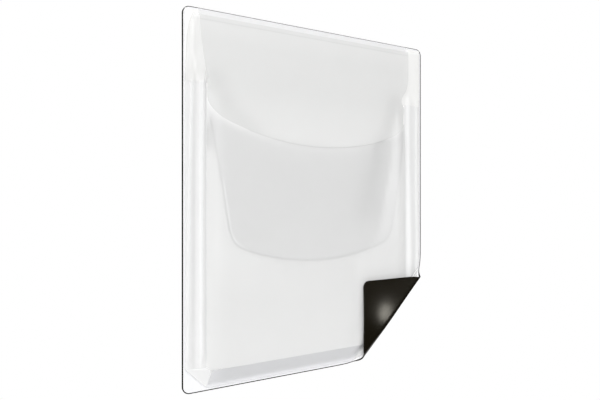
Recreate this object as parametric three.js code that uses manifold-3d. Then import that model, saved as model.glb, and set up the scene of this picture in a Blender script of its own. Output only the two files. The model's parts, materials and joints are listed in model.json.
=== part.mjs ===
// A magnetic document pocket: a flexible magnet sheet with a white face, carrying a wallet of frosted film.
// Millimetres. +X to the right, +Z up, and the wallet faces -Y. The origin is mid-way on the magnet's back.
// The sheet stands upright, and its bottom right corner is turned over to the front along a diagonal.
import * as THREE from 'three';
import { ConvexGeometry } from 'three/addons/geometries/ConvexGeometry.js';
import { mergeVertices } from 'three/addons/utils/BufferGeometryUtils.js';
import Module from 'manifold-3d';

const wasm = await Module();
wasm.setup();

// Driving dimensions
const SHEET_HALF_WIDTH = 128;
const SHEET_HALF_HEIGHT = 160;
const SHEET_CORNER_RADIUS = 6.4;
const FACE_INSET = 0.3;

const MAGNET_THICKNESS = 1.2;
const FACE_THICKNESS = 0.2;
const TAPE_THICKNESS = 0.2;
const FILM_THICKNESS = 0.35;
const PAPER_SPACE = 4.2;
const TONGUE_GAP = 0.3;
const CREASE_GAP = 0.3;
const LAYER_GAP = 0.05;

const WALLET_LEFT = -126;
const WALLET_RIGHT = 125;
const WALLET_BOTTOM = -157;
const WALLET_TOP = 158;
const WALLET_CHAMFER = 14;

const PANEL_CENTRE = -1.5;
const PANEL_HALF_WIDTH = 104.5;
const PANEL_BOTTOM = -143.7;
const PANEL_TOP = 98.8;
const LIP_CREASE = -40;
const GUSSET_BOTTOM = -140;

const MOUTH_LOWEST = 50.9;
const MOUTH_RADIUS = 248;
const MOUTH_ARC_HALF_WIDTH = 84;
const MOUTH_HALF_WIDTH = 102.3;
const MOUTH_EAR_BOTTOM = 88;
const MOUTH_TO_TONGUE = 0.3;
const MOUTH_TO_FLAP = 0.6;

const FLAP_CREASE = 152.6;
const FLAP_TOP_HALF_WIDTH = 113.3;
const FLAP_EAR_HALF_WIDTH = 105.5;
const TONGUE_SHOULDER = { x: 103.4, z: 66 };
const TONGUE_CORNER = { x: 88, z: -24 };
const TONGUE_ARC_HALF_WIDTH = 73;
const TONGUE_ARC_SIDES = -43.5;
const TONGUE_LOWEST = -56.3;
const TONGUE_ROUNDING = { x: 3, z: 4 };

const FOLD_TO_CORNER = 59.5;
const FOLD_CLEARANCE = 0.5;
const BEND_COUNT = 4;
const BEND_GAP = 0.15;
const SLOPE_WIDTH = 6;
const SLOPE_FOOT = 0.8;

const OUTER_RIDGE_HEIGHT = 2.2;
const VALLEY_HEIGHT = 1.2;
const INNER_RIDGE_DROP = 0.6;
const GROOVE_DROP = 1.1;

const WING_INSET = 3;
const WING_BOW = 2;
const WING_TOP_MARGIN = 1.5;

const TAPE_WIDTH = 12;
const TAPE_INSET = 6;
const CURVE_STEPS = 16;
const SAME_POINT = 0.001;

// Depths are distances forward of the magnet's back, layer by layer.
const faceBack = MAGNET_THICKNESS;
const tapeBack = faceBack + FACE_THICKNESS;
const backFilm = tapeBack + TAPE_THICKNESS;
const paperBack = backFilm + FILM_THICKNESS;
const flapBack = paperBack + PAPER_SPACE;
const flapFront = flapBack + FILM_THICKNESS;
const panelBack = flapFront + TONGUE_GAP;
const panelFront = panelBack + FILM_THICKNESS;

const panelLeft = PANEL_CENTRE - PANEL_HALF_WIDTH;
const panelRight = PANEL_CENTRE + PANEL_HALF_WIDTH;

// Materials
const magnetRubber = new THREE.MeshStandardMaterial({ color: 0x1a1711, roughness: 0.55, metalness: 0 });
const whiteVinyl = new THREE.MeshStandardMaterial({ color: 0xfafafa, roughness: 0.4, metalness: 0 });
const tapeFoam = new THREE.MeshStandardMaterial({ color: 0xe9e6dc, roughness: 0.8, metalness: 0 });
const frostedFilm = new THREE.MeshStandardMaterial({
  color: 0xe6e8e9,
  roughness: 0.35,
  metalness: 0,
  transparent: true,
  opacity: 0.6,
});

const pocket = new THREE.Group();

function add(name, geometry, material, parent = pocket) {
  const mesh = new THREE.Mesh(geometry, material.clone());
  mesh.name = name;
  parent.add(mesh);
}

// A flat piece: its outline is drawn in X and Z, and it lies between two depths.
function slab(shape, back, front) {
  const points = shape.getPoints(CURVE_STEPS);
  const distinct = points.filter((point, i) => point.distanceTo(points.at(i - 1)) > SAME_POINT);
  const geometry = new THREE.ExtrudeGeometry(new THREE.Shape(distinct), {
    depth: front - back,
    bevelEnabled: false,
  });
  geometry.rotateX(Math.PI / 2);
  return geometry.translate(0, -back, 0);
}

function polygon(points) {
  return new THREE.Shape(points.map(([x, z]) => new THREE.Vector2(x, z)));
}

// The diagonal fold. "across" is measured at right angles to the fold line, towards the turned corner, and
// "along" is measured on the fold line, up to the right.
const ROOT_HALF = Math.SQRT1_2;
const acrossOf = (x, z) => (x - z) * ROOT_HALF;
const xOnDiagonal = (across, z) => across / ROOT_HALF + z;
const zOnDiagonal = (across, x) => x - across / ROOT_HALF;
const acrossAxis = new THREE.Vector3(ROOT_HALF, 0, -ROOT_HALF);
const alongAxis = new THREE.Vector3(ROOT_HALF, 0, ROOT_HALF);
const forwardAxis = new THREE.Vector3(0, -1, 0);

function foldPoint(across, along, depth) {
  return new THREE.Vector3()
    .addScaledVector(acrossAxis, across)
    .addScaledVector(alongAxis, along)
    .addScaledVector(forwardAxis, depth);
}

// The turned corner's layers, from the magnet's back to the pressed film.
const cornerFaceBack = MAGNET_THICKNESS + LAYER_GAP;
const cornerFrontFilm = paperBack + 2 * LAYER_GAP;
const cornerFront = cornerFrontFilm + FILM_THICKNESS;

// The bend turns half round in equal steps about hinge lines at the middle of the magnet. The space between
// the sheet and the turned corner sets how far apart these lines are.
const bendStep = Math.PI / BEND_COUNT;
const hingeDepth = MAGNET_THICKNESS / 2;
const turnedBack = panelFront + FOLD_CLEARANCE + cornerFront;
const bendDiameter = turnedBack - 2 * hingeDepth;
const hingeSpacing = bendDiameter * Math.tan(bendStep / 2);
const cornerAcross = acrossOf(SHEET_HALF_WIDTH, -SHEET_HALF_HEIGHT);
const bendStart = cornerAcross - FOLD_TO_CORNER - turnedBack / 2;
const firstHinge = bendStart + hingeSpacing / 2;
const lastHinge = firstHinge + (BEND_COUNT - 1) * hingeSpacing;

// Layers inside the hinge lines get narrower towards the inside of the bend.
const miter = (depth) => (depth - hingeDepth) * Math.tan(bendStep / 2);
const flatLimit = (front) => firstHinge - BEND_GAP - miter(front);
const cornerLimit = (front) => lastHinge + BEND_GAP + miter(front);

// The magnet sheet and its white face
function sheetShape(inset, limit) {
  const x = SHEET_HALF_WIDTH - inset;
  const z = SHEET_HALF_HEIGHT - inset;
  const r = SHEET_CORNER_RADIUS - inset;
  const shape = new THREE.Shape();
  shape.moveTo(xOnDiagonal(limit, -z), -z);
  shape.lineTo(x, zOnDiagonal(limit, x));
  shape.lineTo(x, z - r);
  shape.absarc(x - r, z - r, r, 0, Math.PI / 2);
  shape.lineTo(-x + r, z);
  shape.absarc(-x + r, z - r, r, Math.PI / 2, Math.PI);
  shape.lineTo(-x, -z + r);
  shape.absarc(-x + r, -z + r, r, Math.PI, 1.5 * Math.PI);
  return shape;
}

function sheetCornerShape(inset, limit) {
  const x = SHEET_HALF_WIDTH - inset;
  const z = SHEET_HALF_HEIGHT - inset;
  const r = SHEET_CORNER_RADIUS - inset;
  const shape = new THREE.Shape();
  shape.moveTo(x, zOnDiagonal(limit, x));
  shape.lineTo(xOnDiagonal(limit, -z), -z);
  shape.lineTo(x - r, -z);
  shape.absarc(x - r, -z + r, r, 1.5 * Math.PI, 2 * Math.PI);
  return shape;
}

add('magnet_sheet', slab(sheetShape(0, flatLimit(MAGNET_THICKNESS)), 0, MAGNET_THICKNESS), magnetRubber);
add('face_film', slab(sheetShape(FACE_INSET, flatLimit(tapeBack)), faceBack, tapeBack), whiteVinyl);

// Tape strips between the white face and the wallet's back. The right and bottom ones end before the fold.
function tape(name, left, right, bottom, top) {
  const outline = polygon([[left, bottom], [right, bottom], [right, top], [left, top]]);
  add(name, slab(outline, tapeBack, backFilm), tapeFoam);
}

const tapeLeft = WALLET_LEFT + TAPE_INSET;
const tapeRight = WALLET_RIGHT - TAPE_INSET;
const tapeTop = WALLET_TOP - TAPE_INSET;
const tapeBottom = WALLET_BOTTOM + WALLET_CHAMFER;
const tapeSideTop = tapeTop - TAPE_WIDTH - TAPE_INSET;
const tapeSideBottom = tapeBottom + TAPE_WIDTH + TAPE_INSET;
const tapeFoldX = xOnDiagonal(bendStart - TAPE_WIDTH, tapeBottom);
const tapeFoldZ = zOnDiagonal(bendStart - TAPE_WIDTH, tapeRight);
tape('tape_top', tapeLeft, tapeRight, tapeTop - TAPE_WIDTH, tapeTop);
tape('tape_bottom', tapeLeft + WALLET_CHAMFER, tapeFoldX, tapeBottom, tapeBottom + TAPE_WIDTH);
tape('tape_left', tapeLeft, tapeLeft + TAPE_WIDTH, tapeSideBottom, tapeSideTop);
tape('tape_right', tapeRight - TAPE_WIDTH, tapeRight, tapeFoldZ, tapeSideTop);

// The wallet's back panel and the slanted spine above the flap
const backLimit = flatLimit(paperBack);
const backShape = polygon([
  [WALLET_LEFT, WALLET_BOTTOM + WALLET_CHAMFER],
  [WALLET_LEFT + WALLET_CHAMFER, WALLET_BOTTOM],
  [xOnDiagonal(backLimit, WALLET_BOTTOM), WALLET_BOTTOM],
  [WALLET_RIGHT, zOnDiagonal(backLimit, WALLET_RIGHT)],
  [WALLET_RIGHT, WALLET_TOP],
  [WALLET_LEFT, WALLET_TOP],
]);
add('pocket_back', slab(backShape, backFilm, paperBack), frostedFilm);

function vertexCloud(points) {
  return new ConvexGeometry(points.map(([x, depth, z]) => new THREE.Vector3(x, -depth, z)));
}

const spineLeft = PANEL_CENTRE - FLAP_TOP_HALF_WIDTH;
const spineRight = PANEL_CENTRE + FLAP_TOP_HALF_WIDTH;
const spineFoot = FLAP_CREASE + CREASE_GAP;
const spineBack = paperBack + CREASE_GAP;
const spineSection = [
  [flapFront, spineFoot],
  [flapBack, spineFoot],
  [spineBack, WALLET_TOP - FILM_THICKNESS],
  [spineBack, WALLET_TOP],
];
const spinePoints = [spineLeft, spineRight].flatMap((x) => spineSection.map(([depth, z]) => [x, depth, z]));
add('top_spine', vertexCloud(spinePoints), frostedFilm);

// The mouth of the front panel, from its right ear to its left ear, raised by an offset
function traceMouth(shape, offset) {
  const radius = MOUTH_RADIUS - offset;
  const centreZ = MOUTH_LOWEST + MOUTH_RADIUS;
  const halfAngle = Math.asin(MOUTH_ARC_HALF_WIDTH / radius);
  const arcZ = centreZ - radius * Math.cos(halfAngle);
  const earX = MOUTH_HALF_WIDTH - offset;
  const bendZ = arcZ + (earX - MOUTH_ARC_HALF_WIDTH) * Math.tan(halfAngle);
  const right = PANEL_CENTRE + earX;
  const left = PANEL_CENTRE - earX;
  shape.lineTo(right, MOUTH_EAR_BOTTOM);
  shape.quadraticCurveTo(right, bendZ, PANEL_CENTRE + MOUTH_ARC_HALF_WIDTH, arcZ);
  const down = 1.5 * Math.PI;
  shape.absarc(PANEL_CENTRE, centreZ, radius, down + halfAngle, down - halfAngle, true);
  shape.quadraticCurveTo(left, bendZ, left, MOUTH_EAR_BOTTOM);
}

// The front panel: a lower part that stays, and a lip that is pulled forward
const slopeTop = bendStart - SLOPE_FOOT - SLOPE_WIDTH;
const panelLimit = slopeTop - CREASE_GAP;
const lowerPanel = polygon([
  [panelLeft, PANEL_BOTTOM],
  [xOnDiagonal(panelLimit, PANEL_BOTTOM), PANEL_BOTTOM],
  [panelRight, zOnDiagonal(panelLimit, panelRight)],
  [panelRight, LIP_CREASE - CREASE_GAP / 2],
  [panelLeft, LIP_CREASE - CREASE_GAP / 2],
]);
add('front_panel', slab(lowerPanel, panelBack, panelFront), frostedFilm);

const lipShape = new THREE.Shape();
lipShape.moveTo(panelLeft, LIP_CREASE + CREASE_GAP / 2);
lipShape.lineTo(panelRight, LIP_CREASE + CREASE_GAP / 2);
lipShape.lineTo(panelRight, PANEL_TOP);
lipShape.lineTo(PANEL_CENTRE + MOUTH_HALF_WIDTH, PANEL_TOP);
traceMouth(lipShape, 0);
lipShape.lineTo(PANEL_CENTRE - MOUTH_HALF_WIDTH, PANEL_TOP);
lipShape.lineTo(panelLeft, PANEL_TOP);
add('front_lip', slab(lipShape, panelBack, panelFront), frostedFilm);

// The flap: the part in sight above the mouth, and the tongue that goes down behind the front
const flapTop = FLAP_CREASE - CREASE_GAP;
const flapLow = PANEL_TOP + MOUTH_TO_FLAP;
const flapEar = MOUTH_HALF_WIDTH - MOUTH_TO_FLAP;
const flapShape = new THREE.Shape();
flapShape.moveTo(PANEL_CENTRE - FLAP_TOP_HALF_WIDTH, flapTop);
flapShape.lineTo(PANEL_CENTRE - FLAP_EAR_HALF_WIDTH, flapLow);
flapShape.lineTo(PANEL_CENTRE - flapEar, flapLow);
const flapMouth = new THREE.Path();
flapMouth.moveTo(PANEL_CENTRE + flapEar, flapLow);
traceMouth(flapMouth, MOUTH_TO_FLAP);
flapMouth.getPoints(CURVE_STEPS).reverse().forEach((point) => flapShape.lineTo(point.x, point.y));
flapShape.lineTo(PANEL_CENTRE + FLAP_EAR_HALF_WIDTH, flapLow);
flapShape.lineTo(PANEL_CENTRE + FLAP_TOP_HALF_WIDTH, flapTop);
add('flap_panel', slab(flapShape, flapBack, flapFront), frostedFilm);

const tongueEar = MOUTH_HALF_WIDTH - MOUTH_TO_TONGUE;
const tongueRise = TONGUE_ARC_SIDES - TONGUE_LOWEST;
const tongueRadius = (TONGUE_ARC_HALF_WIDTH ** 2 + tongueRise ** 2) / (2 * tongueRise);
const tongueHalfAngle = Math.asin(TONGUE_ARC_HALF_WIDTH / tongueRadius);
const tongueArcCentre = TONGUE_LOWEST + tongueRadius;
const tongueDown = 1.5 * Math.PI;
const tongueShape = new THREE.Shape();
tongueShape.moveTo(PANEL_CENTRE + tongueEar, PANEL_TOP);
traceMouth(tongueShape, MOUTH_TO_TONGUE);
tongueShape.lineTo(PANEL_CENTRE - tongueEar, PANEL_TOP);
tongueShape.lineTo(PANEL_CENTRE - TONGUE_SHOULDER.x, PANEL_TOP);
tongueShape.lineTo(PANEL_CENTRE - TONGUE_SHOULDER.x, TONGUE_SHOULDER.z);
tongueShape.lineTo(PANEL_CENTRE - TONGUE_CORNER.x, TONGUE_CORNER.z);
tongueShape.quadraticCurveTo(
  PANEL_CENTRE - TONGUE_CORNER.x + TONGUE_ROUNDING.x,
  TONGUE_ARC_SIDES + TONGUE_ROUNDING.z,
  PANEL_CENTRE - TONGUE_ARC_HALF_WIDTH,
  TONGUE_ARC_SIDES,
);
tongueShape.absarc(
  PANEL_CENTRE,
  tongueArcCentre,
  tongueRadius,
  tongueDown - tongueHalfAngle,
  tongueDown + tongueHalfAngle,
);
tongueShape.quadraticCurveTo(
  PANEL_CENTRE + TONGUE_CORNER.x - TONGUE_ROUNDING.x,
  TONGUE_ARC_SIDES + TONGUE_ROUNDING.z,
  PANEL_CENTRE + TONGUE_CORNER.x,
  TONGUE_CORNER.z,
);
tongueShape.lineTo(PANEL_CENTRE + TONGUE_SHOULDER.x, TONGUE_SHOULDER.z);
tongueShape.lineTo(PANEL_CENTRE + TONGUE_SHOULDER.x, PANEL_TOP);
add('flap_tongue', slab(tongueShape, flapBack, flapFront), frostedFilm);

// The film that slopes from the front panel down to the fold
const slopeFootDepth = paperBack + FILM_THICKNESS;
const slopeRun = new THREE.Vector2(SLOPE_WIDTH, slopeFootDepth - panelBack).normalize();
const slopeOut = new THREE.Vector2(-slopeRun.y, slopeRun.x).multiplyScalar(FILM_THICKNESS);
const slopeFoot = bendStart - SLOPE_FOOT;
const alongBottom = (across, z) => z / ROOT_HALF + across;
const alongRight = (across, x) => x / ROOT_HALF - across;
const slopeCorners = [
  [slopeTop, alongBottom(slopeTop, PANEL_BOTTOM), panelBack],
  [slopeTop, alongRight(slopeTop, panelRight), panelBack],
  [slopeFoot, alongBottom(slopeFoot, WALLET_BOTTOM), slopeFootDepth],
  [slopeFoot, alongRight(slopeFoot, WALLET_RIGHT), slopeFootDepth],
];
const slopePoints = slopeCorners.flatMap(([across, along, depth]) => [
  foldPoint(across, along, depth),
  foldPoint(across + slopeOut.x, along, depth + slopeOut.y),
]);
add('corner_slope', new ConvexGeometry(slopePoints), frostedFilm);

// Gussets end a crease's width before the sloping film.
function solidOf(geometry) {
  const bare = geometry.clone();
  bare.deleteAttribute('normal');
  bare.deleteAttribute('uv');
  const merged = mergeVertices(bare, 1e-4);
  const mesh = new wasm.Mesh({
    numProp: 3,
    vertProperties: new Float32Array(merged.attributes.position.array),
    triVerts: new Uint32Array(merged.index.array),
  });
  return new wasm.Manifold(mesh);
}

function geometryOf(solid) {
  const { vertProperties, triVerts } = solid.getMesh();
  const geometry = new THREE.BufferGeometry();
  geometry.setAttribute('position', new THREE.BufferAttribute(new Float32Array(vertProperties), 3));
  geometry.setIndex(new THREE.BufferAttribute(new Uint32Array(triVerts), 1));
  geometry.computeVertexNormals();
  return geometry;
}

const CUTTER_SIZE = 400;
const CUTTER_HEIGHT = 60;
const cutter = new THREE.BoxGeometry(CUTTER_SIZE, CUTTER_HEIGHT, CUTTER_SIZE);
cutter.translate(0, CUTTER_HEIGHT / 2 - CREASE_GAP, 0);
const slopeNormal = foldPoint(slopeOut.x, 0, slopeOut.y).normalize();
const slopeDown = foldPoint(slopeRun.x, 0, slopeRun.y);
const slopeCross = alongAxis.clone().cross(slopeNormal);
const cutterFrame = new THREE.Matrix4().makeBasis(alongAxis, slopeNormal, slopeCross);
cutterFrame.setPosition(foldPoint(slopeTop, 0, panelBack).addScaledVector(slopeDown, SLOPE_WIDTH / 2));
cutter.applyMatrix4(cutterFrame);
const slopeCutter = solidOf(cutter);

const cutAtSlope = (geometry) => geometryOf(solidOf(geometry).subtract(slopeCutter));

// A side gusset is a bellows: a flange on the back panel, two ridges with a valley between them, and a groove
// beside the front panel. Each place is a share of the way in from the wallet's edge, with its depth.
const flangeDepth = paperBack + LAYER_GAP;
const bellows = [
  [0, flangeDepth],
  [0.08, flangeDepth],
  [0.18, flangeDepth + OUTER_RIDGE_HEIGHT],
  [0.43, flangeDepth + VALLEY_HEIGHT],
  [0.66, panelBack - INNER_RIDGE_DROP],
  [0.9, panelBack - GROOVE_DROP],
  [1, panelBack],
];

function gusset(outer, inner, bottom, top) {
  const edge = bellows.map(([share, depth]) => [outer + share * (inner - outer), -depth]);
  const front = edge.map(([x, y]) => [x, y - FILM_THICKNESS]).reverse();
  const geometry = new THREE.ExtrudeGeometry(polygon([...edge, ...front]), {
    depth: top - bottom,
    bevelEnabled: false,
  });
  return geometry.translate(0, 0, bottom);
}

const leftInner = panelLeft - CREASE_GAP;
const rightInner = panelRight + CREASE_GAP;
const lowerTop = LIP_CREASE - CREASE_GAP / 2;
const upperFoot = LIP_CREASE + CREASE_GAP / 2;
const rightLower = gusset(WALLET_RIGHT, rightInner, PANEL_BOTTOM, lowerTop);
add('left_gusset_lower', gusset(WALLET_LEFT, leftInner, GUSSET_BOTTOM, lowerTop), frostedFilm);
add('left_gusset_upper', gusset(WALLET_LEFT, leftInner, upperFoot, PANEL_TOP), frostedFilm);
add('right_gusset_lower', cutAtSlope(rightLower), frostedFilm);
add('right_gusset_upper', gusset(WALLET_RIGHT, rightInner, upperFoot, PANEL_TOP), frostedFilm);

// Above the front panel each gusset runs on as a wing that narrows to the spine's end and bows outwards.
const wingFoot = PANEL_TOP + CREASE_GAP;
const wingTop = WALLET_TOP - WING_TOP_MARGIN;
const wingMiddle = (wingFoot + wingTop) / 2;

function wing(outer, inner, tip, bow) {
  const shape = new THREE.Shape();
  shape.moveTo(inner, wingFoot);
  shape.lineTo(tip, wingTop);
  shape.quadraticCurveTo(outer + bow, wingMiddle, outer, wingFoot);
  return slab(shape, flangeDepth, flangeDepth + FILM_THICKNESS);
}

add('left_wing', wing(WALLET_LEFT + WING_INSET, leftInner, spineLeft, -WING_BOW), frostedFilm);
add('right_wing', wing(WALLET_RIGHT - WING_INSET, rightInner, spineRight, WING_BOW), frostedFilm);

// The bottom gusset slopes from the front panel's lower edge to the back panel's lower edge.
const bottomHigh = PANEL_BOTTOM - CREASE_GAP;
const tuckTop = panelLeft + CREASE_GAP;
const tuckFoot = WALLET_LEFT + WALLET_CHAMFER;
const bottomEnds = [
  [tuckTop + CREASE_GAP, tuckFoot + CREASE_GAP],
  [SHEET_HALF_WIDTH, SHEET_HALF_WIDTH],
];
const bottomPoints = bottomEnds.flatMap(([highX, lowX]) => [
  [highX, panelBack, bottomHigh],
  [highX, panelFront, bottomHigh],
  [lowX, flangeDepth, WALLET_BOTTOM],
  [lowX, flangeDepth + FILM_THICKNESS, WALLET_BOTTOM],
]);
add('bottom_gusset', cutAtSlope(vertexCloud(bottomPoints)), frostedFilm);

// The film tucked in at the bottom left, between the left and bottom gussets
const tuckSide = GUSSET_BOTTOM - CREASE_GAP;
const tuckPoints = [
  [panelLeft - CREASE_GAP, bottomHigh + CREASE_GAP],
  [tuckTop, bottomHigh],
].flatMap(([x, z]) => [[x, panelBack, z], [x, panelFront, z]]);
const tuckFeet = [
  [WALLET_LEFT, WALLET_BOTTOM + WALLET_CHAMFER],
  [WALLET_LEFT, tuckSide],
  [tuckFoot, WALLET_BOTTOM],
].flatMap(([x, z]) => [[x, flangeDepth, z], [x, flangeDepth + FILM_THICKNESS, z]]);
add('corner_tuck', vertexCloud([...tuckPoints, ...tuckFeet]), frostedFilm);

// The turned corner. Each bend piece turns on the piece before it, so the groups nest like a chain.
const foldTurn = new THREE.Quaternion().setFromAxisAngle(alongAxis, -bendStep);

function turnedGroup(parent, across) {
  const hinge = foldPoint(across, 0, hingeDepth);
  const turned = new THREE.Group();
  turned.quaternion.copy(foldTurn);
  turned.position.copy(hinge);
  const inside = new THREE.Group();
  inside.position.copy(hinge).negate();
  turned.add(inside);
  parent.add(turned);
  return inside;
}

// One strip of a layer between two hinge lines, ending at the layer's right and bottom edges
function bendStrip(hinge, back, front, right, bottom) {
  const points = [back, front].flatMap((depth) => {
    const near = hinge + BEND_GAP + miter(depth);
    const far = hinge + hingeSpacing - BEND_GAP - miter(depth);
    return [near, far].flatMap((across) => [
      foldPoint(across, alongBottom(across, bottom), depth),
      foldPoint(across, alongRight(across, right), depth),
    ]);
  });
  return new ConvexGeometry(points);
}

const faceRight = SHEET_HALF_WIDTH - FACE_INSET;
const faceBottom = -SHEET_HALF_HEIGHT + FACE_INSET;
const cornerFaceFront = cornerFaceBack + FACE_THICKNESS;
let carrier = pocket;
for (let step = 1; step < BEND_COUNT; step += 1) {
  const hinge = firstHinge + (step - 1) * hingeSpacing;
  carrier = turnedGroup(carrier, hinge);
  const magnetStrip = bendStrip(hinge, 0, MAGNET_THICKNESS, SHEET_HALF_WIDTH, -SHEET_HALF_HEIGHT);
  const faceStrip = bendStrip(hinge, cornerFaceBack, cornerFaceFront, faceRight, faceBottom);
  const filmStrip = bendStrip(hinge, backFilm, cornerFront, WALLET_RIGHT, WALLET_BOTTOM);
  add(`magnet_bend_${step}`, magnetStrip, magnetRubber, carrier);
  add(`face_bend_${step}`, faceStrip, whiteVinyl, carrier);
  add(`film_bend_${step}`, filmStrip, frostedFilm, carrier);
}

const corner = turnedGroup(carrier, lastHinge);
const cornerMagnet = sheetCornerShape(0, cornerLimit(MAGNET_THICKNESS));
const cornerFace = sheetCornerShape(FACE_INSET, cornerLimit(cornerFaceFront));
add('magnet_corner', slab(cornerMagnet, 0, MAGNET_THICKNESS), magnetRubber, corner);
add('face_corner', slab(cornerFace, cornerFaceBack, cornerFaceFront), whiteVinyl, corner);

const pressedLimit = cornerLimit(cornerFront);
const pressedBack = polygon([
  [WALLET_RIGHT, zOnDiagonal(pressedLimit, WALLET_RIGHT)],
  [xOnDiagonal(pressedLimit, WALLET_BOTTOM), WALLET_BOTTOM],
  [WALLET_RIGHT - WALLET_CHAMFER, WALLET_BOTTOM],
  [WALLET_RIGHT, WALLET_BOTTOM + WALLET_CHAMFER],
]);
add('back_corner', slab(pressedBack, backFilm, paperBack), frostedFilm, corner);

const pressedFront = polygon([
  [panelRight, zOnDiagonal(pressedLimit, panelRight)],
  [xOnDiagonal(pressedLimit, PANEL_BOTTOM), PANEL_BOTTOM],
  [panelRight, PANEL_BOTTOM],
]);
add('front_corner', slab(pressedFront, cornerFrontFilm, cornerFront), frostedFilm, corner);

export default pocket;
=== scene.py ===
# %% [markdown]
# # A magnetic document pocket
# The object is a flexible black magnet sheet with a white face. A wallet of frosted film is taped to that
# face, and the sheet's bottom right corner is turned over, so that the black back shows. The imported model
# already has every piece at its place, so the lesson starts from it and only makes the surfaces that the
# eye sees.

# %% Load the frame
import json
import math
from collections import namedtuple

import bpy
import numpy as np
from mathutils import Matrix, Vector
from mathutils.geometry import delaunay_2d_cdt


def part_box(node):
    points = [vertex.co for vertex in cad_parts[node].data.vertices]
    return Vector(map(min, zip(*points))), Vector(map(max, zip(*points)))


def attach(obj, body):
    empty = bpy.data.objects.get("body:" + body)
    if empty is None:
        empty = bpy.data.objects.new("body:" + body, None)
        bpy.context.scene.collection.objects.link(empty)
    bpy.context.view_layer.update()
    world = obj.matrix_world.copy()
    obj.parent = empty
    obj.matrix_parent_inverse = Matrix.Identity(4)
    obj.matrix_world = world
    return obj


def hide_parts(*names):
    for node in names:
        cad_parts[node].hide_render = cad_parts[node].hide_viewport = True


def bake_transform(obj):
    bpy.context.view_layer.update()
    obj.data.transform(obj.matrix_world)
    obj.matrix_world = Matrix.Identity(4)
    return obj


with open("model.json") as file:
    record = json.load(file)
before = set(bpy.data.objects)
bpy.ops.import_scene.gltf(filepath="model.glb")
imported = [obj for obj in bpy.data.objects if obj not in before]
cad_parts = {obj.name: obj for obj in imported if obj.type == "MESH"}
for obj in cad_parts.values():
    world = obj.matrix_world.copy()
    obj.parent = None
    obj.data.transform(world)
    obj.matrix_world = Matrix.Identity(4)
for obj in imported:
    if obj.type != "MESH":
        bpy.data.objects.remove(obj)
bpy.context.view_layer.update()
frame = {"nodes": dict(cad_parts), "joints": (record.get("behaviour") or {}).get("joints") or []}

# %% [markdown]
# ## Sizes
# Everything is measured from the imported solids, in millimetres. Depth counts forward from the magnet's
# back, because the film wallet is a stack of layers on a sheet, and a stack is easiest to think of by its
# depth. Only what a box can't tell, such as the curve of the mouth, is written out here.

# %% Measure the solids
MM = 0.001
ROOT_HALF = math.sqrt(0.5)
Place = namedtuple("Place", "left right bottom top back front")


def place_of(node):
    """Where a solid is, in millimetres, with its depth counted forward from the magnet's back."""
    low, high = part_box(node)
    return Place(*(value / MM for value in (low.x, high.x, low.z, high.z, -high.y, -low.y)))


sheet = place_of("magnet_sheet")
face = place_of("face_film")
wallet = place_of("pocket_back")
panel = place_of("front_panel")
lip = place_of("front_lip")
flap = place_of("flap_panel")
tongue = place_of("flap_tongue")
spine = place_of("top_spine")
film = wallet.front - wallet.back
middle = (lip.left + lip.right) / 2
print("sheet", sheet.right - sheet.left, "by", sheet.top - sheet.bottom, "mm, film", round(film, 2), "mm")

# %% [markdown]
# ## The turned corner
# The corner is bent half round about a diagonal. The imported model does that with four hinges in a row, and
# a real sheet bends in one smooth curve, so each layer is drawn flat and then wrapped round a cylinder.
# Past the cylinder the layer lies face down, and it bulges a little, because a bent magnet sheet springs
# up.

# %% Wrap a flat layer round the fold
joints = {joint["name"]: joint for joint in frame["joints"]}
first_hinge = Vector(joints["corner_curl_1"]["pos_m"]) / MM
last_hinge = Vector(joints["corner_peel"]["pos_m"]) / MM
BENDS = 4
turned_back = -(first_hinge.y + last_hinge.y)
bend_radius = turned_back / 2
hinge_step = (turned_back + 2 * first_hinge.y) * math.tan(math.pi / BENDS / 2)
bend_start = (first_hinge.x - first_hinge.z) * ROOT_HALF - hinge_step / 2
bend_length = BENDS * hinge_step
bend_end = bend_start + bend_length
BULGE_HEIGHT = 2.3
BULGE_WIDTH = 24
BULGE_ACROSS = 131
BULGE_ALONG = -33


def across(x, z):
    return (x - z) * ROOT_HALF


def smooth(low, high, value):
    """Zero below low, one above high, and a soft step between them."""
    share = np.clip((value - low) / (high - low), 0, 1)
    return share * share * (3 - 2 * share)


def wrap(flat):
    """Moves points of a flat layer, as x, depth and z, to where the fold puts them."""
    x, depth, z = flat.T
    along = (x + z) * ROOT_HALF
    start_to_point = across(x, z) - bend_start
    turn = np.clip(start_to_point / bend_length, 0, 1) * np.pi
    radius = bend_radius - depth
    past_bend = np.maximum(start_to_point - bend_length, 0)
    folded = bend_start + np.minimum(start_to_point, 0) + radius * np.sin(turn) - past_bend
    distance = (folded - BULGE_ACROSS) ** 2 + (along - BULGE_ALONG) ** 2
    bulge = BULGE_HEIGHT * np.exp(-distance / (2 * BULGE_WIDTH**2)) * smooth(np.pi / 2, np.pi, turn)
    lifted = bend_radius - radius * np.cos(turn) + bulge
    return np.stack([(along + folded) * ROOT_HALF, lifted, (along - folded) * ROOT_HALF], axis=1)


print("the bend starts", round(bend_start, 2), "mm across and stands", round(turned_back, 2), "mm high")

# %% [markdown]
# ## From an outline to a thin solid
# Every layer is a flat outline with a small thickness. An outline could be filled with one many-sided
# face, but such a face can't bend. So it is filled with small triangles, the back is a copy of the front,
# and walls join the two along the cut edges. Where a layer is only split so that it can follow a joint, no
# wall is made.

# %% Outline helpers
SPACING = 4.0
NO_EDGE = 99.0
ON_EDGE = 0.001
ON_CUT = 1e-6
HEM = 3.0
RING_CLEAR = 0.97
GRID_CLEAR = 0.6
INSIDE_ONLY = 1
MERGE_WITHIN = 1e-5


def steps(start, end, spacing=SPACING):
    """Points from start to end, without the end."""
    start, end = np.array(start, float), np.array(end, float)
    count = max(1, math.ceil(np.linalg.norm(end - start) / spacing))
    return [start + (end - start) * i / count for i in range(count)]


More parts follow.
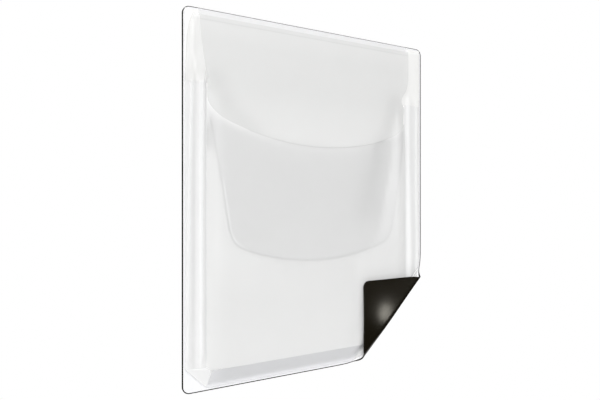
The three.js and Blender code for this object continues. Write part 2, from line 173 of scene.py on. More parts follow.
def arc(centre, radius, start, end, count=12):
    """Points round part of a circle, with angles in degrees."""
    angles = np.radians(np.linspace(start, end, count + 1))
    return [np.array([centre[0] + radius * math.cos(a), centre[1] + radius * math.sin(a)]) for a in angles]


def bow(start, pull, end, count=12):
    """Points of a curve from start to end that is pulled towards a third point."""
    start, pull, end = (np.array(p, float) for p in (start, pull, end))
    shares = np.linspace(0, 1, count + 1)
    return [(1 - t) ** 2 * start + 2 * t * (1 - t) * pull + t * t * end for t in shares]


def closed(points, spacing=SPACING):
    """A closed outline with no long stretch and no point twice."""
    points = [p for i, p in enumerate(points) if np.linalg.norm(p - np.array(points[i - 1])) > ON_EDGE]
    pairs = zip(points, points[1:] + points[:1])
    return np.array([step for start, end in pairs for step in steps(start, end, spacing)])


def clip(outline, limit, keep_low, spacing=SPACING):
    """The part of an outline on one side of a line along the fold, with even steps on the cut."""
    kept = []
    sign = 1 if keep_low else -1
    side = [sign * (limit - across(*p)) for p in outline]
    for i, point in enumerate(outline):
        before, here = side[i - 1], side[i]
        if before * here < 0:
            kept.append(outline[i - 1] + (point - outline[i - 1]) * before / (before - here))
        if here >= 0:
            kept.append(point)
    result = []
    for i, point in enumerate(kept):
        last = kept[i - 1]
        if max(abs(across(*last) - limit), abs(across(*point) - limit)) < ON_CUT:
            ends = sorted((sum(last) * ROOT_HALF, sum(point) * ROOT_HALF))
            marks = np.arange(math.ceil(ends[0] / spacing), math.floor(ends[1] / spacing) + 1) * spacing
            marks = marks if sum(point) > sum(last) else marks[::-1]
            result += [np.array([a + limit, a - limit]) * ROOT_HALF for a in marks]
        result.append(point)
    return np.array([p for i, p in enumerate(result) if np.linalg.norm(p - result[i - 1]) > ON_EDGE])


def line_distance(points, starts, ends):
    """How far each point is from the nearest of some straight lines."""
    runs = ends - starts
    rays = points[:, None] - starts[None]
    shares = np.clip((rays * runs).sum(2) / (runs * runs).sum(1), 0, 1)
    return np.linalg.norm(rays - shares[..., None] * runs, axis=2).min(1)


def edge_distance(points, outline):
    """How far each point is from a closed outline."""
    return line_distance(points, outline, np.roll(outline, -1, axis=0))


def cut_distance(points, cut):
    """How far each point is from a cut edge, which is a row of points."""
    cut = np.array([cut[0], *(b for a, b in zip(cut, cut[1:]) if np.linalg.norm(b - a) > ON_EDGE)])
    return line_distance(points, cut[:-1], cut[1:])


def inside(points, outline):
    """Whether each point is inside an outline, by counting the edges to its right."""
    x, z = points[:, :1], points[:, 1:]
    x0, z0 = outline.T
    x1, z1 = np.roll(outline, -1, axis=0).T
    spans = (z0 > z) != (z1 > z)
    crossing = x0 + (z - z0) * (x1 - x0) / np.where(z1 == z0, 1, z1 - z0)
    return (spans & (x < crossing)).sum(1) % 2 == 1


def ring_inside(outline, hem):
    """A ring of points at an even distance inside an outline that runs anticlockwise."""
    run = np.roll(outline, -1, axis=0) - np.roll(outline, 1, axis=0)
    inward = np.stack([-run[:, 1], run[:, 0]], axis=1) / np.linalg.norm(run, axis=1, keepdims=True)
    ring = outline + inward * hem
    return ring[edge_distance(ring, outline) > hem * RING_CLEAR]


def fill(outline, spacing=SPACING, hem=0.0):
    """Small triangles inside an outline: its points as x and z, and the triangles."""
    low, high = outline.min(0), outline.max(0)
    grid = np.stack(np.meshgrid(*(np.arange(a, b, spacing) for a, b in zip(low, high))), -1).reshape(-1, 2)
    grid = grid[inside(grid, outline)]
    if len(grid):
        grid = grid[edge_distance(grid, outline) > hem + spacing * GRID_CLEAR]
    ring = ring_inside(outline, hem) if hem else []
    points = [Vector(p) for p in (*outline, *ring, *grid)]
    border = list(range(len(outline)))
    verts, _, faces, *_ = delaunay_2d_cdt(points, [], [border], INSIDE_ONLY, MERGE_WITHIN)
    return np.array([list(v) for v in verts]), faces


print("outline helpers ready, with steps of", SPACING, "mm")

# %% Make a thin solid
SHARED_DIGITS = 4
HEM_SLACK = 1.05
SHARP_ANGLE = math.radians(40)
TO_BLENDER = np.array([MM, -MM, MM])


def join(parts):
    """Several filled outlines as one, with shared points merged."""
    index, points, faces = {}, [], []
    for part_points, part_faces in parts:
        ids = []
        for point in part_points:
            key = tuple(np.round(point, SHARED_DIGITS))
            ids.append(index.setdefault(key, len(index)))
            if ids[-1] == len(points):
                points.append(point)
        faces += [[ids[i] for i in face] for face in part_faces]
    return np.array(points), faces


def thin_solid(name, surface, depths, move, finishes, slot, seam=None, rim=None, milk=None, hem=None):
    """A layer between two depths, back and front. move puts its flat points in place, and seam says which
    points are on a split. A see-through film is one surface, with a back only along its cut edge, as wide as
    its hem."""
    points, faces = surface
    count = len(points)
    rim = np.full(count, NO_EDGE) if rim is None else rim
    milk = np.zeros(count) if milk is None else milk
    x, z = points.T
    flat = [np.stack([x, np.full(count, depth), z], axis=1) for depth in reversed(depths)]
    placed = np.concatenate([move(side) for side in flat]) * TO_BLENDER
    sides = {(a, b) for corners in faces for a, b in zip(corners, [*corners[1:], corners[0]])}
    split = np.zeros(count, bool) if seam is None else seam(points)
    backed = faces
    if hem is not None:
        split = rim > ON_EDGE
        backed = [corners for corners in faces if max(rim[i] for i in corners) < hem * HEM_SLACK]
    border = sorted((a, b) for a, b in sides if (b, a) not in sides)
    walls = [(a + count, b + count, b, a) for a, b in border if not (split[a] and split[b])]
    every = [*faces, *([i + count for i in reversed(corners)] for corners in backed), *walls]
    used = sorted({i for corners in every for i in corners})
    new_index = {old: new for new, old in enumerate(used)}
    mesh = bpy.data.meshes.new(name)
    mesh.from_pydata(placed[used], [], [[new_index[i] for i in corners] for corners in every])
    flat_place = mesh.attributes.new("flat_place", "FLOAT_VECTOR", "POINT")
    flat_place.data.foreach_set("vector", np.concatenate(flat)[used].ravel())
    for label, values in (("rim", rim), ("milk", milk)):
        mesh.attributes.new(label, "FLOAT", "POINT").data.foreach_set("value", np.tile(values, 2)[used])
    for finish in finishes:
        mesh.materials.append(finish)
    first_wall = len(every) - len(walls)
    wall_finish = len(finishes) - 1
    mesh.polygons.foreach_set("material_index", [wall_finish * (i >= first_wall) for i in range(len(every))])
    mesh.polygons.foreach_set("use_smooth", [True] * len(every))
    mesh.set_sharp_from_angle(angle=SHARP_ANGLE)
    piece = bpy.data.objects.new(name, mesh)
    bpy.context.scene.collection.objects.link(piece)
    return piece


print("thin_solid makes each layer")

# %% [markdown]
# ## Sums with sockets
# A finish is a tree of nodes. Writing the sums in a tree as Python expressions keeps them readable, so a
# small class wraps a socket, and each operator on it adds one Math node. Every other node comes from one
# method, which sets the node's choices first and then its sockets.

# %% The socket class and the node method
MIX_SHARE, MIX_FIRST, MIX_SECOND, MIX_RESULT = 0, 6, 7, 2


class Wire:
    """One output of a node tree. An operator on it adds a Math node and gives that node's output."""

    def __init__(self, tree, socket):
        self.tree = tree
        self.socket = socket

    def math(self, operation, first, second):
        return self.tree.node("ShaderNodeMath", {"operation": operation}, {0: first, 1: second})

    def __add__(self, other):
        return self.math("ADD", self, other)

    def __radd__(self, other):
        return self.math("ADD", other, self)

    def __sub__(self, other):
        return self.math("SUBTRACT", self, other)

    def __rsub__(self, other):
        return self.math("SUBTRACT", other, self)

    def __mul__(self, other):
        return self.math("MULTIPLY", self, other)

    def __rmul__(self, other):
        return self.math("MULTIPLY", other, self)


class Tree:
    """A node tree, with one method that makes any node."""

    def __init__(self, nodes_of):
        nodes_of.use_nodes = True
        self.nodes = nodes_of.node_tree.nodes
        self.links = nodes_of.node_tree.links

    def node(self, kind, settings, inputs, output=0):
        made = self.nodes.new(kind)
        for key, value in settings.items():
            setattr(made, key, value)
        self.fill(made, inputs)
        return Wire(self, made.outputs[output])

    def fill(self, node, inputs):
        for key, value in inputs.items():
            if isinstance(value, Wire):
                self.links.new(value.socket, node.inputs[key])
            else:
                node.inputs[key].default_value = value

    def attribute(self, label, output="Fac"):
        return self.node("ShaderNodeAttribute", {"attribute_name": label}, {}, output)

    def noise(self, place, scale, detail=3.0):
        return self.node("ShaderNodeTexNoise", {}, {"Vector": place, "Scale": scale, "Detail": detail})

    def stretched(self, place, scales):
        return self.node("ShaderNodeVectorMath", {"operation": "MULTIPLY"}, {0: place, 1: scales})

    def mix(self, share, first, second, blend="MIX"):
        settings = {"data_type": "RGBA", "blend_type": blend}
        inputs = {MIX_SHARE: share, MIX_FIRST: first, MIX_SECOND: second}
        return self.node("ShaderNodeMix", settings, inputs, MIX_RESULT)

    def step(self, value, low, high):
        settings = {"interpolation_type": "SMOOTHSTEP"}
        return self.node("ShaderNodeMapRange", settings, {"Value": value, "From Min": low, "From Max": high})

    def split(self, place, axis):
        return self.node("ShaderNodeSeparateXYZ", {}, {"Vector": place}, axis)

    def bump(self, height, strength, distance):
        return self.node("ShaderNodeBump", {}, {"Height": height, "Strength": strength, "Distance": distance})


def finish_of(name, paint):
    """A new material whose shader paint(tree) fills in."""
    material = bpy.data.materials.new(name)
    tree = Tree(material)
    tree.fill(tree.nodes["Principled BSDF"], paint(tree))
    return material


print("sums with sockets ready")

# %% [markdown]
# ## Finishes
# The magnet is black ferrite rubber. It is rolled into a sheet, which leaves faint lines along it, and it
# has a fine grain and a satin shine. A plain dark colour would look like a hole in the picture, so the
# lines and the grain also change the roughness and the bump.

# %% Magnet rubber
ROLLED = (1.4, 1.0, 0.012)
RUBBER_DARK = (0.0045, 0.0034, 0.0014, 1)
RUBBER_LIGHT = (0.0062, 0.0048, 0.0022, 1)
RUBBER_ROUGHNESS = 0.12
RUBBER_UNEVEN = 0.03
GRAIN_HEIGHT = 0.6
LINES_HEIGHT = 0.5


def paint_rubber(tree):
    place = tree.attribute("flat_place", "Vector")
    lines = tree.noise(tree.stretched(place, ROLLED), scale=1.0, detail=2.0)
    grain = tree.noise(place, scale=2.2, detail=4.0)
    wear_and_fold_light = tree.noise(place, scale=0.03, detail=3.0)
    return {
        "Base Color": tree.mix(lines, RUBBER_DARK, RUBBER_LIGHT),
        "Roughness": RUBBER_ROUGHNESS + RUBBER_UNEVEN * lines + RUBBER_UNEVEN * grain + RUBBER_UNEVEN * wear_and_fold_light,
        "Specular IOR Level": 0.29,
        "Specular Tint": (1.0, 0.95, 0.82, 1),
        "Normal": tree.bump(GRAIN_HEIGHT * grain + LINES_HEIGHT * lines, strength=0.12, distance=0.00003),
    }


rubber = finish_of("magnet_rubber", paint_rubber)
print("made", rubber.name)

# %% [markdown]
# The white face is a vinyl laminate, almost pure white, with a slight orange peel from the roller. The
# tape is a matte paper-like strip that only shows between the layers. Pictures of them would blur close up,
# and noise stays sharp: the vinyl has a wide one for its colour and a fine one for its peel, and the tape
# has one that is stretched into fibres.

# %% Vinyl and tape
VINYL_SHADED = (0.84, 0.842, 0.86, 1)
VINYL_BRIGHT = (0.865, 0.868, 0.885, 1)
VINYL_ROUGHNESS, VINYL_UNEVEN = 0.34, 0.1
TAPE_FIBRES = (900.0, 900.0, 300.0)
TAPE_SHADED = (0.84, 0.83, 0.8, 1)
TAPE_BRIGHT = (0.9, 0.89, 0.87, 1)
TAPE_ROUGHNESS, TAPE_UNEVEN = 0.7, 0.2


def paint_vinyl(tree):
    place = tree.attribute("flat_place", "Vector")
    cloud = tree.noise(place, scale=0.02, detail=2.0)
    peel = tree.noise(place, scale=0.7, detail=2.0)
    return {
        "Base Color": tree.mix(cloud, VINYL_SHADED, VINYL_BRIGHT),
        "Roughness": VINYL_ROUGHNESS + VINYL_UNEVEN * peel,
        "Normal": tree.bump(peel, strength=0.08, distance=0.00004),
    }


def paint_tape(tree):
    place = tree.node("ShaderNodeTexCoord", {}, {}, "Object")
    fibre = tree.noise(tree.stretched(place, TAPE_FIBRES), scale=1.0, detail=4.0)
    return {
        "Base Color": tree.mix(fibre, TAPE_SHADED, TAPE_BRIGHT),
        "Roughness": TAPE_ROUGHNESS + TAPE_UNEVEN * fibre,
        "Normal": tree.bump(fibre, strength=0.2, distance=0.00005),
    }


vinyl = finish_of("white_vinyl", paint_vinyl)
tape = finish_of("tape", paint_tape)
for node in ("tape_top", "tape_bottom", "tape_left", "tape_right"):
    frame["nodes"][node].data.materials.clear()
    frame["nodes"][node].data.materials.append(tape)
print("made", vinyl.name, "and", tape.name)

# %% [markdown]
# The wallet is frosted polypropylene. It lets most light through and looks milky, so one layer over white
# is a pale grey, and two layers are a darker one. A glass shader would be slow and noisy for six thin
# layers, so the film is a soft surface with a low alpha. Painted light and painted shade lie on it in
# zones, a cut edge shows as a dark line with a painted highlight inside part of it, and a thin line of
# painted shade lies below the flap's crease.

# %% Frosted film
EVEN = 0.5
HATCHED = (0.9, 1.0, 0.05)
CUT_LINE_END = (0.5, 0.9)
HEM_LINE_START = (0.9, 1.2)
HEM_LINE_END = (2.2, 2.6)
EDGE_HIGHLIGHT_ENDS = ("X", -82, -70), ("Z", 8, 32)
CREASE_LINE = (0.3, 0.8)
CREASE_PAINTED_SHADE = 0.18
CREASE_BELOW_HINGE = 3.2
PLAIN_SHADE = 0.985
CLOUD_SHADE, PAINTED_SHADING_SHARE, EDGE_HIGHLIGHT_SHARE = 0.03, 0.16, 0.25
FROST_ALPHA, LINE_ALPHA, EDGE_HIGHLIGHT_ALPHA = 0.03, 0.2, 0.4
FROST_ROUGHNESS = 0.1
RIB_HEIGHT = 2
# The crease's thin line of painted shade lies this far below the hinge.
crease_height = joints["flap_crease"]["pos_m"][2] / MM - CREASE_BELOW_HINGE


def paint_film(tint, alpha, roughness, ribs=0.0, line=0.0, edge_highlight=0.0, edge_highlight_ends=(), crease=None):
    """A film's finish. line and edge_highlight are the dark line of a cut edge and the painted highlight
    inside it, and edge_highlight_ends says along which axis, and from where to where, the painted highlight
    fades."""
    def paint(tree):
        place = tree.attribute("flat_place", "Vector")
        rim = tree.attribute("rim")
        milk = tree.attribute("milk")
        cloud = tree.noise(place, scale=0.025, detail=3.0)
        frost = tree.noise(place, scale=1.5, detail=3.0)
        hatch = tree.noise(tree.stretched(place, HATCHED), scale=1.0, detail=1.0)
        dark = 1 - tree.step(rim, *CUT_LINE_END)
        # hem is a painted highlight just inside a cut edge.
        hem = edge_highlight * (tree.step(rim, *HEM_LINE_START) - tree.step(rim, *HEM_LINE_END))
        for axis, full, gone in edge_highlight_ends:
            hem = hem * (1 - tree.step(tree.split(place, axis), full, gone))
        # A thin line of painted shade just below the crease.
        if crease is not None:
            height = tree.split(place, "Z")
            inner, outer = CREASE_LINE
            crease_shade_band = tree.step(height, crease - outer, crease - inner)
            crease_shade_band = crease_shade_band - tree.step(height, crease + inner, crease + outer)
            dark = dark + CREASE_PAINTED_SHADE * crease_shade_band
        # milk is painted light where it is positive and painted shade where it is negative; cloud and ribs
        # are random tone.
        shade = PLAIN_SHADE + CLOUD_SHADE * cloud + PAINTED_SHADING_SHARE * milk + EDGE_HIGHLIGHT_SHARE * hem
        shade = shade - line * dark + ribs * (hatch - EVEN)
        return {
            "Base Color": tree.mix(1.0, (*tint, 1), shade, "MULTIPLY"),
            "Roughness": roughness + FROST_ROUGHNESS * frost,
            "Alpha": alpha + FROST_ALPHA * (frost - EVEN) + LINE_ALPHA * line * dark + EDGE_HIGHLIGHT_ALPHA * hem,
            "Normal": tree.bump(frost + RIB_HEIGHT * ribs * hatch, strength=0.06, distance=0.00004),
        }

    return paint


# A look is a tint, an alpha and a roughness.
films = {
    name: finish_of(name, paint_film(*look, **lines))
    for name, look, lines in (
        ("front_film", ((0.805, 0.807, 0.807), 0.6, 0.45), {"line": 0.2}),
        ("flap_film", ((0.765, 0.767, 0.767), 0.5, 0.45), {
            "line": 0.62, "edge_highlight": 1.3, "edge_highlight_ends": EDGE_HIGHLIGHT_ENDS, "crease": crease_height,
        }),
        ("back_film", ((0.885, 0.885, 0.875), 1.0, 0.45), {}),
        ("side_film", ((0.87, 0.873, 0.88), 0.5, 0.35), {}),
        ("wing_film", ((0.86, 0.86, 0.855), 0.5, 0.35), {"line": 0.06}),
        ("spine_film", ((0.775, 0.775, 0.785), 0.6, 0.5), {"ribs": 0.1}),
        # The bottom's darker tint is painted shade, for a film that faces down.
        ("shaded_bottom_film", ((0.62, 0.623, 0.645), 0.6, 0.4), {}),
        ("film_cut_edge", ((0.82, 0.825, 0.83), 0.6, 0.35), {}),
    )
}
print("made", len(films), "films:", ", ".join(films))

# %% [markdown]
# ## The sheet and its layers
# The magnet, its white face, the wallet's back film and the pressed front film all go round the fold. One
# mesh can bend between two bodies only, and the hinge chain has five, so a layer is cut into bands along
# the fold line, narrow ones in the bend, and the bands are shared out to four pieces.

# %% Lay a layer round the fold
BANDS_PER_BEND = 6
SHEET_CORNER = 6.4
WALLET_CHAMFER = 18
RIGHT_PINCH = 2.6
BOTTOM_PINCH = 1.2
PINCH_WIDTH = 8
CORNER_STEPS = 8


def bend_point(step):
    """A point on the bend's hinge line after so many of its four steps, in metres."""
    reach = bend_start + step * hinge_step
    flat = np.array([[(BULGE_ALONG + reach) * ROOT_HALF, -first_hinge.y, (BULGE_ALONG - reach) * ROOT_HALF]])
    x, depth, z = wrap(flat)[0]
    return Vector((x, -depth, z)) * MM


def layer(name, outline, depths, finishes, slot, replaced, flat_too=True, hem=None, milk_of=None):
    """Four pieces of one layer: its flat part if wanted, the bend and the corner. replaced gives the solids
    that each piece stands for."""
    width = hinge_step / BANDS_PER_BEND
    cuts = [bend_start + i * width for i in range(BENDS * BANDS_PER_BEND + 1)]
    flat_part = [fill(clip(outline, bend_start, True))] if flat_too else []
    corner_part = [fill(clip(outline, bend_end, False))]
    strips = [fill(clip(clip(outline, low, False), high, True)) for low, high in zip(cuts, cuts[1:])]
    for i in range(BENDS):
        parts = strips[i * BANDS_PER_BEND : (i + 1) * BANDS_PER_BEND]
        parts = (flat_part if i == 0 else []) + parts + (corner_part if i == BENDS - 1 else [])
        ends = (bend_start + i * hinge_step, bend_start + (i + 1) * hinge_step)

        def on_split(points, ends=ends, bend=i):
            place = across(*points.T)
            low = (np.abs(place - ends[0]) < ON_EDGE) & (bend > 0)
            high = (np.abs(place - ends[1]) < ON_EDGE) & (bend < BENDS - 1)
            return low | high

        surface = join(parts)
        milk = milk_of(surface[0]) if milk_of else None
        piece = thin_solid(
            f"{name}_{i + 1}", surface, depths, wrap, finishes, slot, seam=on_split, milk=milk, hem=hem
        )
        start, end = bend_point(i), bend_point(i + 1)
        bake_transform(piece)
        if replaced[i]:
            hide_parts(*replaced[i])


def drawn_in(outline, place):
    """An outline whose right and bottom sides are drawn in a little at the two ends of the bend."""
    pinch = np.exp(-(((across(*outline.T) - bend_start - bend_length / 2) / PINCH_WIDTH) ** 2))
    outline[:, 0] -= RIGHT_PINCH * pinch * (outline[:, 0] > place.right - ON_EDGE)
    outline[:, 1] += BOTTOM_PINCH * pinch * (outline[:, 1] < place.bottom + ON_EDGE)
    return outline


def rounded(place, radius):
    """A rectangle with round corners."""
    corners = [(place.right, place.bottom, 270), (place.right, place.top, 0)]
    corners += [(place.left, place.top, 90), (place.left, place.bottom, 180)]
    points = []
    for x, z, start in corners:
        centre = (x - math.copysign(radius, x), z - math.copysign(radius, z))
        points += arc(centre, radius, start, start + 90, CORNER_STEPS)
    return drawn_in(closed(points), place)


print("each bend is", round(hinge_step, 2), "mm long")

# %% Magnet, face and back film
LAMINATE_INSET = 0.9
SIDE_INSET = 1.2
TOP_INSET = 0.65
trimmed = face._replace(
    left=sheet.left + LAMINATE_INSET, right=sheet.right - SIDE_INSET,
    bottom=sheet.bottom + LAMINATE_INSET, top=sheet.top - TOP_INSET,
)
layer(
    "magnet", rounded(sheet, SHEET_CORNER), (sheet.back, sheet.front), [rubber], "magnet_rubber",
    [["magnet_sheet"], ["magnet_bend_1"], ["magnet_bend_2"], ["magnet_bend_3", "magnet_corner"]],
)
layer(
    "face", rounded(trimmed, SHEET_CORNER - LAMINATE_INSET), (face.back, face.front), [vinyl], "white_vinyl",
    [["face_film"], ["face_bend_1"], ["face_bend_2"], ["face_bend_3", "face_corner"]],
)
wallet_points = closed([
    np.array(point) for point in (
        (wallet.left, wallet.bottom + WALLET_CHAMFER),
        (wallet.left + WALLET_CHAMFER, wallet.bottom),
        (wallet.right - WALLET_CHAMFER, wallet.bottom),
        (wallet.right, wallet.bottom + WALLET_CHAMFER),
        (wallet.right, wallet.top),
        (wallet.left, wallet.top),
    )
])
wallet_outline = drawn_in(wallet_points, wallet)
layer(
    "wallet_back", wallet_outline, (wallet.back, wallet.front),
    [films["back_film"], films["film_cut_edge"]], "frosted_film",
    [["pocket_back"], ["film_bend_1"], ["film_bend_2"], ["film_bend_3", "back_corner"]],
)
print("laid the magnet, its face and the wallet's back round the fold")

# %% [markdown]
# ## The front film
# The front of the wallet is one film: a panel with a wide curved mouth at its top and a narrow ear at each
# side. It is slightly pillowed, with one long dent in its right half, and painted light lies beside the
# dent. At the fold it slopes down to the sheet, where it is pressed flat and goes round with it. Its upper
# half is pulled forward to put papers in, so the film bends at half its height. A cloth simulation could
# crumple a film, but not at chosen places, so its depth is a sum of soft steps and bell curves.

# %% Front film
MOUTH_LOWEST = 49.3
MOUTH_SHIFT = 4
MOUTH_RADIUS = 248
MOUTH_ARC_HALF_WIDTH = 84
MOUTH_HALF_WIDTH = 102.3
MOUTH_ENDS = (86, 80)
MOUTH_STEPS = 48
LEFT_FOLD_OUT = 2.2
BOTTOM_FOLD_UP = 1.9
SLOPE_WIDTH = 6
SLOPE_FOOT = 0.8
PILLOW = 0.6
PILLOW_FULL = -60
SIDE_DROP = (3.2, 1.2)
SIDE_ROUNDING = (17, 7)
SIDE_DROP_TOP = (86, 104)
DENT = 2.6
DENT_RIGHT_WIDTH = 25
DENT_LEFT_WIDTHS = (-30, 50), (26, 14)
DENT_BOTTOM, DENT_TOP = (-44, -8), (92, 118)
dent_heights = (-30, -10, 10, 33, 50, 71, 91)
dent_places = (66, 69, 70, 75.5, 75, 88, 95)
LIT_SIDE_SOFTNESS = 3
LIT_SIDE_END = (10, 5)
lit_side_heights = (-56, -50, -42, -30, -10, 10, 33, 51, 71, 84, 94)
lit_side_places = (40, 52, 62, 69, 75, 79, 84, 86.5, 88, 91.5, 95)
tongue_heights = (-56, -50, -42, -33, -24, 66)
tongue_places = (-40, -62, -76, -85, -89.5, -104.9)
FRONT_HEM = 1.2
EAR_FADE = 60
EAR_FADE_SPEED = 0.3
GUSSET_END_UP = 0.6
TUCK_TIP_IN = 4
layer_gap = 0.05
pressed_front = wallet.front + 2 * layer_gap + film
front = lip._replace(left=lip.left - LEFT_FOLD_OUT, bottom=panel.bottom + BOTTOM_FOLD_UP)
print("the front is", round(front.right - front.left, 1), "mm wide between its fold lines")


# %% Mouth, dent and the dent's lit side
def mouth():
    """The mouth's edge from the panel's right side to its left side."""
    tilt = math.asin(MOUTH_ARC_HALF_WIDTH / MOUTH_RADIUS)
    centre = (middle + MOUTH_SHIFT, MOUTH_LOWEST + MOUTH_RADIUS)
    arc_z = centre[1] - MOUTH_RADIUS * math.cos(tilt)
    bend_z = arc_z + (MOUTH_HALF_WIDTH - MOUTH_ARC_HALF_WIDTH) * math.tan(tilt)
    sag = arc(centre, MOUTH_RADIUS, 270 + math.degrees(tilt), 270 - math.degrees(tilt), MOUTH_STEPS)
    left_end, right_end = (front.left, MOUTH_ENDS[0]), (front.right, MOUTH_ENDS[1])
    right_ear = bow(right_end, (middle + MOUTH_HALF_WIDTH, bend_z), sag[0])
    left_ear = bow(sag[-1], (middle - MOUTH_HALF_WIDTH, bend_z), left_end)
    return [*right_ear, *sag, *left_ear]


def groove(x, z, path, width):
    """One on a path of points, fading to zero at about twice the width."""
    distance = cut_distance(np.stack([x, z], axis=-1), [np.array(point, float) for point in path])
    return np.exp(-((distance / width) ** 2))


def dent(x, z):
    """One along a long dent in the right of the front, which is wider towards its lower end."""
    off = x - np.interp(z, dent_heights, dent_places)
    width = np.where(off < 0, np.interp(z, *DENT_LEFT_WIDTHS), DENT_RIGHT_WIDTH)
    return np.exp(-((off / width) ** 2)) * smooth(*DENT_BOTTOM, z) * (1 - smooth(*DENT_TOP, z))


def dent_lit_side(x, z):
    """One on the right side of the dent, where painted light lies."""
    edge = np.interp(z, lit_side_heights, lit_side_places)
    start, end = (front.right - distance for distance in LIT_SIDE_END)
    return smooth(edge - LIT_SIDE_SOFTNESS, edge + LIT_SIDE_SOFTNESS, x) * (1 - smooth(start, end, x))


print("the mouth is", round(front.right - front.left, 1), "mm wide, with", len(mouth()), "points")


# %% Depth of the front
def slope(x, z, height, foot, width=SLOPE_WIDTH):
    """A depth that falls to the sheet beside the fold."""
    share = smooth(bend_start - SLOPE_FOOT - width, bend_start - SLOPE_FOOT, across(x, z))
    return height + (np.minimum(foot, height) - height) * share


def front_depth(x, z):
    half_width = (lip.right - lip.left) / 2
    crown = 1 - ((x - middle) / half_width) ** 2
    to_sides = (x - front.left, front.right - x)
    drop = sum(
        depth * np.clip(1 - distance / reach, 0, 1) ** 2
        for depth, reach, distance in zip(SIDE_DROP, SIDE_ROUNDING, to_sides)
    )
    form = PILLOW * crown * smooth(front.bottom, PILLOW_FULL, z) - drop * (1 - smooth(*SIDE_DROP_TOP, z))
    return slope(x, z, front.front + form - DENT * dent(x, z), pressed_front)


def lifted(depth_of):
    """Puts flat points at the depth that a surface has there, keeping their thickness."""
    def move(flat):
        x, thickness, z = flat.T
        return np.stack([x, thickness + depth_of(x, z), z], axis=1)

    return move


def film_piece(name, surface, move, finishes, **attributes):
    """A see-through film, drawn as its front surface."""
    materials = [films[finish] for finish in finishes]
    return thin_solid(name, surface, (-film, 0.0), move, materials, "frosted_film", **attributes)


left_bottom = place_of("left_gusset_lower").bottom + GUSSET_END_UP
tuck_tip = np.array((front.left + TUCK_TIP_IN, front.bottom))
front_outline = closed([
    np.array((front.left, left_bottom)), tuck_tip, np.array((front.right, front.bottom)), *mouth(),
])
front_outline = clip(front_outline, bend_start, True)
front_surface = fill(front_outline, hem=FRONT_HEM)
print("front film with", len(front_surface[0]), "points")

# %% [markdown]
# The film is painted lighter and darker in zones, as painted light and painted shade along the dents, the
# mouth, the crease and the folds. A picture could carry such zones, but they follow the shapes. So every
# point gets an amount of painted shading, worked out from the same curves as the shape, and the finish reads
# it.

# %% Painted shading of the front
MARGIN_PAINTED_LIGHT = 0.35
MARGIN_START = (2, 9)
MARGIN_BOTTOM, MARGIN_TOP = (-90, -30), (45, 70)
LIT_SIDE_PAINTED_LIGHT, LIT_SIDE_PAINTED_LIGHT_MORE = 0.3, 0.55
LIT_SIDE_LIGHT_RISE = (-50, 20)
DENT_PAINTED_SHADE = 0.2
EAR_PAINTED_SHADE = 1.2
EAR_BOTTOM, EAR_TOP, EAR_WIDTH = (36, 50), (58, 70), (2, 6)
MOUTH_EDGE_PAINTED_LIGHT = 0.5
LIP_WIDTH = 3
LIP_END = (-70, -30)


def front_milk(x, z):
    """Painted light left of the tongue, right of the dent and along the left of the mouth's edge, and painted
    shade in the dent and at the foot of the left ear."""
    edge = np.interp(z, tongue_heights, tongue_places)
    beside_tongue = 1 - smooth(edge - 1, edge + 1, x)
    from_left = x - front.left
    left = MARGIN_PAINTED_LIGHT * beside_tongue * smooth(*MARGIN_START, from_left)
    left = left * smooth(*MARGIN_BOTTOM, z) * (1 - smooth(*MARGIN_TOP, z))
    right = (LIT_SIDE_PAINTED_LIGHT + LIT_SIDE_PAINTED_LIGHT_MORE * smooth(*LIT_SIDE_LIGHT_RISE, z)) * dent_lit_side(x, z)
    ear = smooth(*EAR_BOTTOM, z) * (1 - smooth(*EAR_TOP, z)) * (1 - smooth(*EAR_WIDTH, from_left))
    edge_milk = MOUTH_EDGE_PAINTED_LIGHT * groove(x, z, mouth(), LIP_WIDTH) * (1 - smooth(*LIP_END, x))
    return left + right - DENT_PAINTED_SHADE * dent(x, z) - EAR_PAINTED_SHADE * ear + edge_milk


up_the_ear = np.maximum(front_surface[0][:, 1] - EAR_FADE, 0)
front_piece = film_piece(
    "front", front_surface, lifted(front_depth), ["front_film", "film_cut_edge"], hem=FRONT_HEM,
    rim=cut_distance(front_surface[0], mouth()) + EAR_FADE_SPEED * up_the_ear,
    milk=front_milk(*front_surface[0].T),
)
flex = Vector(joints["mouth_flex"]["pos_m"])
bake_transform(front_piece)
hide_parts("front_panel", "front_lip", "corner_slope")
print("front film bends at", round(flex.z / MM, 1), "mm")

# %% Pressed front in the turned corner
PRESSED_PAINTED_SHADE = 1.2


def pressed_milk(points):
    """Painted shade on the pressed film past the front's bottom and right fold lines."""
    x, z = points.T
    below = 1 - smooth(front.bottom - 1, front.bottom + 1, z)
    beside = smooth(front.right - 1, front.right + 1, x)
    return -PRESSED_PAINTED_SHADE * np.maximum(below, beside)


layer(
    "pressed_front", wallet_outline, (pressed_front - film, pressed_front), [films["front_film"]],
    "frosted_film", [[], [], [], ["front_corner"]], flat_too=False, hem=0, milk_of=pressed_milk,
)
print("pressed the front film into the corner")

# %% [markdown]
# ## The spine and the flap
# The wallet's back film goes on over the top: a narrow slanted spine, a crease, and then the flap, whose
# tongue goes down behind the front until its tip lies on the wallet's back. The film has soft dents where
# it dives behind the mouth's ears. Its left edge is a plain curve, and its right edge has a rounded waist
# beside the wing. Back, spine and flap are three bodies, and one mesh can bend between two only. So spine
# and flap are two pieces that share one curve in depth.

